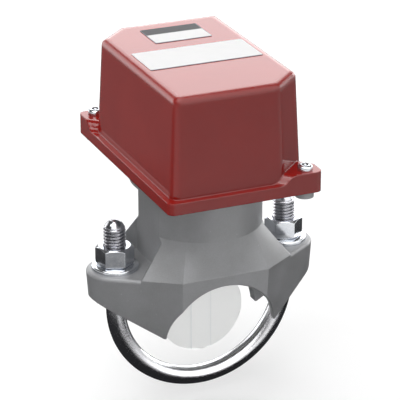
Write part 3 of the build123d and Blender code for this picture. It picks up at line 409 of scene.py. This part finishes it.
def polyethylene():
    """Translucent white plastic, a little cloudy, with a faint painted shade line along the band's
    steps.
    """
    material = new_material("polyethylene", (0.88, 0.89, 0.88), 0.35,
                            Transmission_Weight=0.72, IOR=1.12)
    where = place(material)
    grain = noise(material, where, 0.0009)
    side = along(material, where, "X")
    across = side.maths("ABSOLUTE", side)
    step = across.above(HALF_BAND - STEP_SHADE_LINE) * (1.0 - across.above(HALF_BAND + STEP_SHADE_LINE))
    plastic = mix(material, noise(material, where, 0.012, detail=3.0),
                  (0.93, 0.935, 0.93), (0.96, 0.965, 0.96))
    # Painted shade: a grey-blue line where the band's steps would catch shade.
    feed(material, "Base Color", mix(material, step * 0.5, plastic, (0.62, 0.66, 0.69)))
    feed(material, "Roughness", carried(material, grain, 0.30, 0.42))
    bump(material, grain, 0.00002, 0.0002)
    return material


def label_film(name, low, high, header_share=0.0):
    """White film with a grey line at its front. One with a dark header has a line at each side."""
    material = new_material(name, (0.76, 0.76, 0.76), 0.3, Specular_IOR_Level=0.04)
    where = place(material)
    x = along(material, where, "X")
    y = along(material, where, "Y")
    cloud = noise(material, where, 0.01)
    film = mix(material, cloud, (0.74, 0.74, 0.74), (0.77, 0.77, 0.77))
    line = 1.0 - y.above(low.y + LABEL_FRONT_LINE)
    if header_share:
        line = (line + (1.0 - x.above(low.x + LABEL_SIDE_LINE))
                + x.above(high.x - LABEL_SIDE_LINE))
        header = y.above(high.y - header_share * (high.y - low.y))
        film = mix(material, header, film, (0.035, 0.035, 0.04))
    feed(material, "Base Color", mix(material, line.above(0.5) * 0.8, film, (0.22, 0.25, 0.30)))
    feed(material, "Roughness", carried(material, cloud, 0.28, 0.32))
    bump(material, cloud, 0.000004, 0)
    return material


finish_of = {
    "red_enamel": red_enamel(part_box("cover")[0]),
    "cast_grey": cast_grey(),
    "zinc_steel": bright_zinc("bright_zinc"),
    "sheet_steel": rolled_sheet(),
    "clear_white_plastic": polyethylene(),
    "brass": turned_brass(),
    "black_rubber": black_rubber(),
    "switch_plastic": moulded("switch_case", (0.012, 0.011, 0.011), (0.022, 0.020, 0.019), 0.35),
    "barrier_sheet": moulded("barrier_sheet", (0.20, 0.15, 0.09), (0.27, 0.21, 0.13), 0.6),
    "button_plastic": moulded("button_plastic", (0.45, 0.06, 0.02), (0.55, 0.08, 0.03), 0.35),
    "retard_aluminium": turned_aluminium(),
    "dial_plastic": moulded("dial_plastic", (0.02, 0.02, 0.022), (0.035, 0.035, 0.038), 0.4),
    "label_white": label_film("name_film", *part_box("name_label")),
    "green_screw": moulded("green_paint", (0.03, 0.20, 0.05), (0.04, 0.26, 0.07), 0.35),
}
zinc = finish_of["zinc_steel"]
for subpart in frame["record"]["subparts"]:
    cad_piece = nodes[subpart["node"]]
    cad_piece.data.materials.clear()
    cad_piece.data.materials.append(finish_of[subpart["material_slot"]])

nodes["data_label"].data.materials[0] = label_film("data_film", *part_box("data_label"),
                                                   LABEL_HEADER_SHARE)


# Tools for modelling: every piece ends at the origin with its place in its mesh

MERGE = 0.000002                    # corners nearer than this are one


def settle():
    """Puts the place, turn and scale of the selected piece in its mesh."""
    bpy.ops.object.transform_apply(location=True, rotation=True, scale=True)


def only(piece):
    """Selects one piece and nothing else."""
    bpy.ops.object.select_all(action="DESELECT")
    piece.select_set(True)
    bpy.context.view_layer.objects.active = piece


def begin(kind, name, **settings):
    """Adds a primitive with nothing else selected, and puts its place in its mesh."""
    bpy.ops.object.select_all(action="DESELECT")
    getattr(bpy.ops.mesh, "primitive_" + kind + "_add")(**settings)
    piece = bpy.context.active_object
    piece.name = piece.data.name = name
    settle()
    return piece


def edit(piece, mode="VERT"):
    """Enters edit mode with all of the piece selected."""
    only(piece)
    bpy.ops.object.mode_set(mode="EDIT")
    bpy.ops.mesh.select_mode(type=mode)
    bpy.ops.mesh.select_all(action="SELECT")


def done(piece):
    """Leaves edit mode with doubles merged and faces outwards."""
    bpy.ops.mesh.select_all(action="SELECT")
    bpy.ops.mesh.remove_doubles(threshold=MERGE)
    bpy.ops.mesh.normals_make_consistent(inside=False)
    bpy.ops.object.mode_set(mode="OBJECT")
    return piece


def draw_up(length):
    """Extrudes what is selected upwards, or downwards where the length is negative."""
    bpy.ops.mesh.extrude_region_move(TRANSFORM_OT_translate={"value": (0, 0, length)})


def smooth(piece, angle):
    """Shades a piece smooth over edges that turn by less than angle degrees."""
    only(piece)
    bpy.ops.object.shade_smooth_by_angle(angle=math.radians(angle))
    return piece


def turned(name, centre, rings, sides=64, hollow=False):
    """A piece turned about an upright axis: each ring is a radius and a height."""
    radius, height = rings[0]
    piece = begin("circle", name, vertices=sides, radius=radius,
                  fill_type="NOTHING" if hollow else "NGON", location=(*centre, height))
    edit(piece)
    for wide, high in rings[1:] + (rings[:1] if hollow else []):
        draw_up(high - height)
        bpy.ops.transform.resize(value=(wide / radius, wide / radius, 1.0),
                                 center_override=(*centre, high))
        radius, height = wide, high
    return done(piece)


def cut(piece, tool, operation="DIFFERENCE"):
    """Cuts a piece with another, which is used up."""
    only(piece)
    change = piece.modifiers.new("cut", "BOOLEAN")
    change.operation = operation
    change.solver = "EXACT"
    change.object = tool
    bpy.ops.object.modifier_apply(modifier=change.name)
    bpy.data.objects.remove(tool)
    return piece


def join(name, *pieces):
    """Makes several objects one piece."""
    bpy.ops.object.select_all(action="DESELECT")
    for piece in pieces:
        piece.select_set(True)
    bpy.context.view_layer.objects.active = pieces[0]
    bpy.ops.object.join()
    pieces[0].name = pieces[0].data.name = name
    return pieces[0]


def copy_of(piece):
    """A copy with its own mesh."""
    only(piece)
    bpy.ops.object.duplicate(linked=False)
    return bpy.context.active_object


def move(piece, shift):
    """Moves a piece, and puts its new place in its mesh."""
    only(piece)
    piece.location = shift
    settle()
    return piece


def finish(piece, body, slot, material, *replaced):
    """Gives a piece its material and its body, and hides the CAD nodes that it stands for. The
    slot is not used.
    """
    piece.data.materials.clear()
    piece.data.materials.append(material)
    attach(piece, body)
    if replaced:
        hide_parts(*replaced)
    return piece


# U-bolt: bent rod with a rolled thread on each end

def rod():
    """The bent rod below the threads."""
    leg = THREAD_START + ROD_OVERLAP - BEND_HEIGHT
    piece = begin("circle", "rod", vertices=48, radius=ROD_RADIUS, fill_type="NGON",
                  location=(-LEG_X, 0, THREAD_START + ROD_OVERLAP))
    edit(piece)
    draw_up(-leg)
    bpy.ops.mesh.spin(steps=96, angle=math.pi, center=(0, 0, BEND_HEIGHT), axis=(0, 1, 0))
    draw_up(leg)
    return done(piece)


def thread_ridge(foot):
    """A ridge wound about the upright axis from the height foot, closed at both ends."""
    piece = begin("plane", "ridge", size=1.0, location=(0, 0, 0), rotation=(math.pi / 2, 0, 0))
    edit(piece)
    bpy.ops.transform.resize(
        value=(THREAD_RADIUS - THREAD_ROOT + RIDGE_SUNK, 1.0, RIDGE_FOOT_SHARE * PITCH),
        center_override=(0, 0, 0))
    bpy.ops.transform.translate(
        value=((THREAD_RADIUS + THREAD_ROOT) / 2 - RIDGE_SUNK / 2, 0, foot))
    bpy.ops.mesh.select_all(action="DESELECT")
    shape = bmesh.from_edit_mesh(piece.data)
    for corner in shape.verts:
        corner.select = corner.co.x > THREAD_RADIUS - RIDGE_SUNK / 2
    shape.select_flush(True)
    bmesh.update_edit_mesh(piece.data)
    bpy.ops.transform.resize(value=(1.0, 1.0, RIDGE_CREST_SHARE),
                             center_override=(THREAD_RADIUS, 0, foot))
    bpy.ops.mesh.select_all(action="SELECT")
    bpy.ops.mesh.delete(type="ONLY_FACE")
    bpy.ops.object.mode_set(mode="OBJECT")
    winding = piece.modifiers.new("winding", "SCREW")
    winding.axis = "Z"
    winding.screw_offset = PITCH
    winding.iterations = THREAD_TURNS
    winding.steps = winding.render_steps = 36
    bpy.ops.object.modifier_apply(modifier=winding.name)
    edit(piece, "EDGE")
    bpy.ops.mesh.select_all(action="DESELECT")
    bpy.ops.mesh.select_non_manifold(extend=False)
    bpy.ops.mesh.fill_holes(sides=4)
    return done(piece)


def dome_rings(foot, foot_radius, top, steps=9):
    """Rings of a spherical cap that ends almost in a point."""
    rise = top - foot
    ball = (foot_radius**2 + rise**2) / (2 * rise)
    widest = math.asin(foot_radius / ball)
    angles = [widest * (1 - k / steps) for k in range(steps + 1)]
    return [(max(ball * math.sin(angle), 0.0001), top - ball + ball * math.cos(angle))
            for angle in angles]


def stud():
    """One threaded end, about the upright axis at the origin."""
    ridge = thread_ridge(THREAD_START - RIDGE_LEAD)
    blank = turned("blank", (0, 0), [
        (0.0050, THREAD_START - 0.0005),
        (THREAD_ROOT + 0.0001, THREAD_START),
        (THREAD_RADIUS, THREAD_START + 0.0022),
        (THREAD_RADIUS, DOME_FOOT - 0.0012),
        (THREAD_ROOT + 0.0003, DOME_FOOT + 0.0002)])
    cut(ridge, blank, "INTERSECT")
    core = turned("core", (0, 0), [
        (THREAD_ROOT, THREAD_START - 0.0005),
        (THREAD_ROOT, DOME_FOOT - 0.0010),
        *dome_rings(DOME_FOOT, DOME_FOOT_RADIUS, STUD_TOP)])
    return join("stud", core, ridge)


stud_left = stud()
stud_right = move(copy_of(stud_left), (LEG_X, 0, 0))
move(stud_left, (-LEG_X, 0, 0))
u_bolt = smooth(join("clamp_bolt", rod(), stud_left, stud_right), 30)
finish(u_bolt, "u_bolt", "zinc_steel", drawn_rod(), "u_bolt")


# Nuts and washers

def hexagon_nut(name, x):
    """A double-chamfered nut with a countersunk bore."""
    corner = NUT_FLATS / math.sqrt(3)
    face = NUT_FACE_SHARE * NUT_FLATS
    outside = 1.01 * corner
    fall = 1.05 * (NUT_CHAMFER_SLOPE * (corner - face))
    nut = begin("cylinder", name, vertices=6, radius=corner, depth=NUT_TOP - WASHER_TOP,
                location=(x, 0, (NUT_TOP + WASHER_TOP) / 2),
                rotation=(0, 0, math.radians(NUT_TURN + 30)))
    cut(nut, turned("blank", (x, 0), [
        (face, WASHER_TOP - 0.00001),
        (outside, WASHER_TOP + fall),
        (outside, NUT_TOP - fall),
        (face, NUT_TOP + 0.00001)], 96), "INTERSECT")
    cut(nut, turned("bore", (x, 0), [
        (NUT_COUNTERSINK, WASHER_TOP - 0.0005),
        (NUT_BORE, WASHER_TOP + 0.0006),
        (NUT_BORE, NUT_TOP - 0.0006),
        (NUT_COUNTERSINK, NUT_TOP + 0.0005)], 96))
    return smooth(nut, 12)


def flat_washer(name, x):
    """A punched washer: its upper edges are drawn round, its lower ones stay square."""
    return smooth(turned(name, (x, 0), [
        (WASHER_BORE, EAR_TOP),
        (WASHER_RADIUS, EAR_TOP),
        (WASHER_RADIUS, WASHER_TOP - 0.0009),
        (WASHER_RADIUS - 0.00012, WASHER_TOP - 0.0005),
        (WASHER_RADIUS - 0.00040, WASHER_TOP - 0.00016),
        (WASHER_RADIUS - 0.0009, WASHER_TOP),
        (WASHER_BORE + 0.0004, WASHER_TOP),
        (WASHER_BORE, WASHER_TOP - 0.0004)], 96, hollow=True), 40)


for side, x in (("left", -LEG_X), ("right", LEG_X)):
    finish(hexagon_nut("hexagon_nut_" + side, x), "nut_" + side, "zinc_steel", zinc,
           "nut_" + side)

washers = flat_washer("washer_left", -LEG_X), flat_washer("washer_right", LEG_X)
finish(join("flat_washers", *washers), "body", "zinc_steel", zinc, "washers")


# Cover screws: button heads with a six-sided socket round a pin

def tamper_screw(centre, seat):
    """A button-head screw that needs a pin-in-socket key."""
    screw = turned("screw", centre, [
        (0.0019, seat - SHANK_LENGTH),
        (SHANK_RADIUS, seat - 0.0139),
        (SHANK_RADIUS, seat),
        (0.00405, seat),
        (HEAD_RADIUS, seat + 0.0002),
        (HEAD_RADIUS, seat + 0.0018),
        (0.00418, seat + 0.0022),
        (0.00395, seat + 0.00258),
        (0.00355, seat + 0.00288),
        (0.00300, seat + 0.00311),
        (0.00265, seat + 0.0032),
        (0.00235, seat + HEAD_HEIGHT)])
    cut(screw, begin("cylinder", "socket", vertices=6, radius=SOCKET_RADIUS,
                     depth=2 * SOCKET_DEPTH, location=(*centre, seat + HEAD_HEIGHT),
                     rotation=(0, 0, SOCKET_TURN)))
    pin = turned("pin", centre, [
        (PIN_RADIUS, seat + 0.0010),
        (PIN_RADIUS, seat + 0.0031),
        (0.00070, seat + 0.0032)], 32)
    return smooth(join("screw", screw, pin), 35)


screws_low, screws_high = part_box("cover_screws")
head_seat = screws_high.z - HEAD_HEIGHT
screw_centres = ((screws_high.x - HEAD_RADIUS, screws_low.y + HEAD_RADIUS),
                 (screws_low.x + HEAD_RADIUS, screws_high.y - HEAD_RADIUS))
tamper_screws = [tamper_screw(centre, head_seat) for centre in screw_centres]
# The screws' zinc has painted shade in its sockets.
finish(join("tamper_screws", *tamper_screws), "cover", "zinc_steel",
       bright_zinc("socket_shaded_zinc", head_seat, screw_centres), "cover_screws")


# Recesses of the inner screws, cut into copies of the CAD screws

def driven(node_name, body, slot, towards, width, depth):
    """A copy of a node's screws, each with a crossed recess in the end of its head."""
    copy = copy_of(nodes[node_name])
    copy.parent = None
    edit(copy)
    bpy.ops.mesh.remove_doubles(threshold=MERGE)
    bpy.ops.mesh.separate(type="LOOSE")
    bpy.ops.object.mode_set(mode="OBJECT")
    screws = list(bpy.context.selected_objects)
    axis = Vector(towards)
    turn = axis.to_track_quat("Z", "Y").to_euler()
    for screw in screws:
        corners = [corner.co for corner in screw.data.vertices]
        middle = sum(corners, Vector()) / len(corners)
        top = middle + axis * (max(corner.dot(axis) for corner in corners) - middle.dot(axis))
        for angle in (0.0, math.pi / 2):
            blade = begin("cube", "blade", size=1.0, location=(0, 0, 0),
                          scale=(width, BLADE_SHARE * width, 2 * depth))
            blade.rotation_euler = (0, 0, angle + BLADE_TURN)
            settle()
            blade.rotation_euler = turn
            blade.location = top
            settle()
            cut(screw, blade)
    piece = smooth(join(node_name + "_driven", *screws), 35)
    finish(piece, body, slot, nodes[node_name].data.materials[0], node_name)


UP, FRONT, LEFT = (0, 0, 1), (0, -1, 0), (-1, 0, 0)
for node_name, body, slot, towards, width, depth in (
    ("base_screws", "body", "zinc_steel", UP, 0.0042, 0.0012),
    ("bracket_screws", "body", "zinc_steel", UP, 0.0032, 0.0009),
    ("chassis_screws", "body", "zinc_steel", UP, 0.0042, 0.0012),
    ("ground_screw", "body", "green_screw", UP, 0.0050, 0.0012),
    ("terminal_screws", "body", "brass", FRONT, 0.0038, 0.0009),
    ("switch_screws", "body", "zinc_steel", LEFT, 0.0040, 0.0011),
    ("paddle_screws", "stem", "zinc_steel", FRONT, 0.0032, 0.0009),
):
    driven(node_name, body, slot, towards, width, depth)


# Floor, dark cards, world and lamps

SHOWN_FLOOR = 0.46                  # grey of the floor near the object, as it is seen
SHOWN_WORLD = 1.0                   # white round the object, as it is seen
ROOM_LIGHT = 0.10                   # strength of the light that the world casts
CEILING = 0.10                      # strength of the ceiling, as it is mirrored
CEILING_START, CEILING_END = 0.07, 0.22
FLOOR = -0.0517
FADE_START, FADE_END = 0.4, 1.6     # how far from the origin the floor turns white
CARD_MIDDLE = (0.03, 0.10, FLOOR)
CARD_START, CARD_END = 0.22, 0.42   # how far from that middle a card turns pale
CARD_LIFT = 0.0003
CARD_BLACK = (0.012, 0.012, 0.013)
GLOW_TOWARDS = (0.42, -0.69, 0.59)
GLOW_START, GLOW_END = 0.66, 0.82
GLOW = 2.0                          # strength of the glow at the front, as it is mirrored


def ray(material, kind):
    """1 for one kind of ray."""
    return node(material, "ShaderNodeLightPath", {}, {}, kind)


def seen_or_mirrored(material):
    """1 where the camera looks, straight or by way of metal and glass."""
    return (ray(material, "Is Camera Ray") + ray(material, "Is Glossy Ray")
            + ray(material, "Is Transmission Ray")).above(0.5)


def floor_paint():
    """Pale paint that is seen grey near the object and white far from it."""
    material = new_material("floor", (0.60, 0.60, 0.60), 0.9,
                            Specular_IOR_Level=0.0, Emission_Strength=1.0)
    away = distance(material, place(material), (0.0, 0.0, 0.0))
    fade = spread(material, away, FADE_START, FADE_END) * ray(material, "Is Camera Ray")
    shown = mix(material, fade, (SHOWN_FLOOR,) * 3, (1.0, 1.0, 1.0))
    feed(material, "Emission Color",
         mix(material, seen_or_mirrored(material), (0.0, 0.0, 0.0), shown))
    return material


floor = begin("plane", "floor", size=12.0, location=(0, 0, FLOOR))
floor.data.materials.append(floor_paint())


def dark_card(name, low_x, high_x, low_y, high_y, pale):
    """A dark card on the floor that only mirrors see, and that turns to the grey pale far away."""
    material = new_material(name, CARD_BLACK, 0.9, Specular_IOR_Level=0.0, Emission_Strength=1.0)
    away = distance(material, place(material), CARD_MIDDLE)
    feed(material, "Emission Color",
         mix(material, spread(material, away, CARD_START, CARD_END), CARD_BLACK, (pale,) * 3))
    card = begin("plane", name, size=1.0)
    edit(card)
    bpy.ops.transform.resize(value=(high_x - low_x, high_y - low_y, 1.0))
    bpy.ops.transform.translate(
        value=((low_x + high_x) / 2, (low_y + high_y) / 2, FLOOR + CARD_LIFT))
    done(card)
    card.data.materials.append(material)
    for kind in ("camera", "diffuse", "shadow", "transmission"):
        setattr(card, "visible_" + kind, False)


dark_card("card_behind", -0.95, 0.95, -0.12, 0.95, 0.235)
dark_card("card_left", -0.40, -0.06, -0.40, -0.12, SHOWN_FLOOR)

world = bpy.data.worlds.new("studio")
bpy.context.scene.world = world
world.use_nodes = True
sky = world.node_tree.nodes["Background"]
sky.inputs["Color"].default_value = (1.0, 1.0, 1.0, 1.0)
direction = node(world, "ShaderNodeTexCoord", {}, {}, "Generated")
facing = node(world, "ShaderNodeVectorMath", {"operation": "DOT_PRODUCT"},
              {0: direction, 1: GLOW_TOWARDS}, 1)
overhead = spread(world, along(world, direction, "Z"), CEILING_START, CEILING_END,
                  SHOWN_WORLD, CEILING)
glow = spread(world, facing, GLOW_START, GLOW_END, 0.0, GLOW)
mirrored = choose(world, seen_or_mirrored(world), ROOM_LIGHT,
                  overhead.maths("MAXIMUM", overhead, glow))
strength = choose(world, ray(world, "Is Camera Ray"), mirrored, SHOWN_WORLD)
world.node_tree.links.new(strength.socket, sky.inputs["Strength"])


def soft_lamp(name, location, target, size, power):
    """A square lamp of size metres that faces its target and that the camera doesn't see."""
    data = bpy.data.lights.new(name, "AREA")
    data.size = size
    data.energy = power
    lamp = bpy.data.objects.new(name, data)
    lamp.location = location
    lamp.rotation_euler = (Vector(target) - Vector(location)).to_track_quat("-Z", "Y").to_euler()
    lamp.visible_camera = False
    bpy.context.scene.collection.objects.link(lamp)


soft_lamp("top_box", (-0.05, -0.05, 1.45), (0, 0, 0.05), 0.9, 8.6)
soft_lamp("left_box", (-0.75, -0.05, 1.25), (0, 0, 0.08), 0.5, 3.0)
soft_lamp("front_box", (-0.68, -0.82, 1.05), (0, 0, 0.06), 0.9, 5.4)
soft_lamp("right_box", (1.30, 0.10, 0.45), (0, 0, 0.10), 0.5, 2.2)
soft_lamp("back_box", (0.58, 1.36, 0.78), (0, 0, 0.158), 1.3, 13.8)
soft_lamp("back_left_box", (-0.60, 1.22, 0.33), (0, 0, 0.12), 0.8, 3.6)
soft_lamp("back_right_box", (1.15, 0.62, 0.32), (0, 0, 0.12), 0.5, 4.8)
